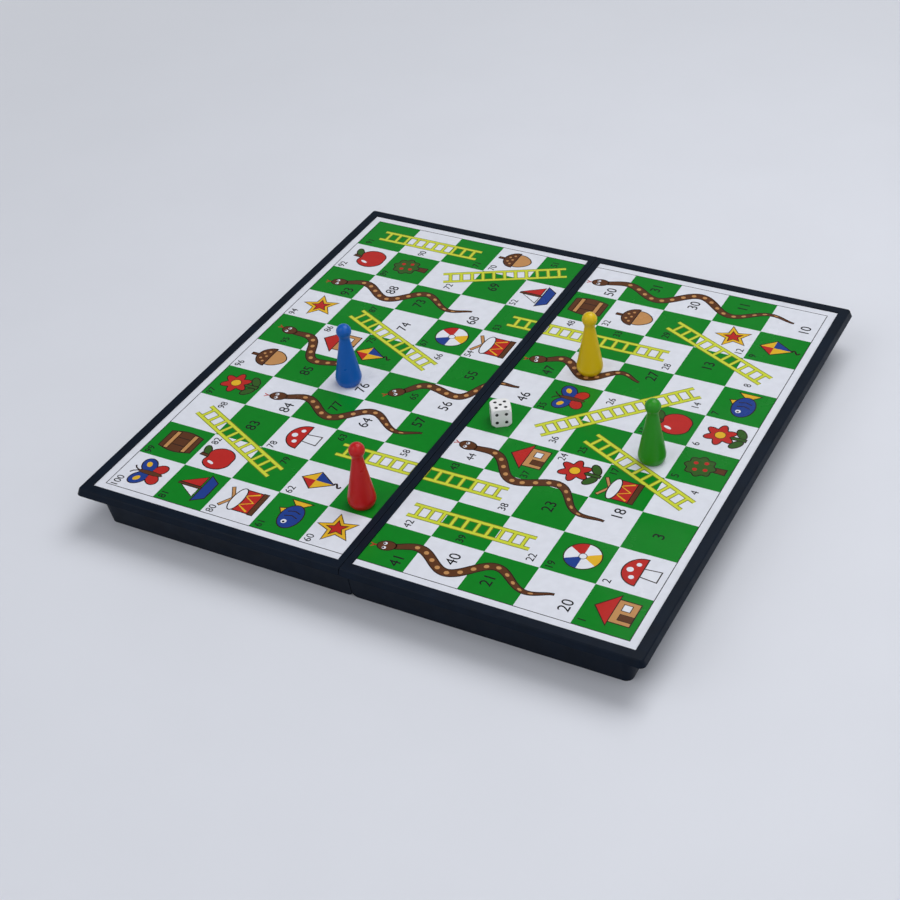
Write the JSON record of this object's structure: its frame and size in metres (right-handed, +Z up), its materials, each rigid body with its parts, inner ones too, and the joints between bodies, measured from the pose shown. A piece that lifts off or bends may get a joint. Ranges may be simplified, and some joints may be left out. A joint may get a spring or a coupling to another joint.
{
  "type": "folding magnetic snakes and ladders board",
  "caption": "Folding magnetic snakes and ladders board: two hinged black plastic halves with printed steel tops and a clasp, with magnetic pawns and a die standing on it.",
  "frame": {"origin": "on the table, under the middle of the open board", "axes": "+Z up from the table, X along the fold, -Y towards the player whose side holds the first squares"},
  "size_m": [0.25, 0.25, 0.0495],
  "materials": {
    "case_plastic": "satin moulded black",
    "hinge_plastic": "satin moulded black",
    "sheet_steel": "thin rolled sheet",
    "printed_film": "glossy laminated print",
    "pin_steel": "drawn wire",
    "blue_plastic": "glossy moulded",
    "red_plastic": "glossy moulded",
    "yellow_plastic": "glossy moulded",
    "green_plastic": "glossy moulded",
    "magnet": "sintered magnet",
    "die_plastic": "polished white"
  },
  "bodies": {
    "near_half": {"near_case": "case_plastic", "near_steel_sheet": "sheet_steel", "near_play_sheet": "printed_film", "near_hinge_pins": "pin_steel"},
    "hinge_links": {"left_hinge_link": "hinge_plastic", "right_hinge_link": "hinge_plastic"},
    "far_half": {"far_case": "case_plastic", "far_steel_sheet": "sheet_steel", "far_play_sheet": "printed_film", "far_hinge_pins": "pin_steel", "clasp_pin": "pin_steel"},
    "clasp": {"clasp": "hinge_plastic"},
    "blue_pawn": {"blue_pawn": "blue_plastic", "blue_pawn_magnet": "magnet"},
    "red_pawn": {"red_pawn": "red_plastic", "red_pawn_magnet": "magnet"},
    "yellow_pawn": {"yellow_pawn": "yellow_plastic", "yellow_pawn_magnet": "magnet"},
    "green_pawn": {"green_pawn": "green_plastic", "green_pawn_magnet": "magnet"},
    "die": {"die": "die_plastic"}
  },
  "joints": [
    {"name": "link_fold", "type": "hinge", "parent": "near_half", "child": "hinge_links", "pos_m": [0, -0.00235, 0.0022], "axis": [-1, 0, 0], "range_deg": [0, 90]},
    {"name": "far_fold", "type": "hinge", "parent": "hinge_links", "child": "far_half", "pos_m": [0, 0.00235, 0.0022], "axis": [-1, 0, 0], "range_deg": [0, 90]},
    {"name": "clasp_swing", "type": "hinge", "parent": "far_half", "child": "clasp", "pos_m": [0, 0.12057, 0.0026], "axis": [-1, 0, 0], "range_deg": [0, 169.7]},
    {"name": "blue_lift", "type": "slide", "parent": "far_half", "child": "blue_pawn", "axis": [0, 0, 1], "range_m": [0, 0.06]},
    {"name": "red_lift", "type": "slide", "parent": "far_half", "child": "red_pawn", "axis": [0, 0, 1], "range_m": [0, 0.06]},
    {"name": "yellow_lift", "type": "slide", "parent": "near_half", "child": "yellow_pawn", "axis": [0, 0, 1], "range_m": [0, 0.06]},
    {"name": "green_lift", "type": "slide", "parent": "near_half", "child": "green_pawn", "axis": [0, 0, 1], "range_m": [0, 0.06]},
    {"name": "die_lift", "type": "slide", "parent": "near_half", "child": "die", "axis": [0, 0, 1], "range_m": [0, 0.06]}
  ]
}
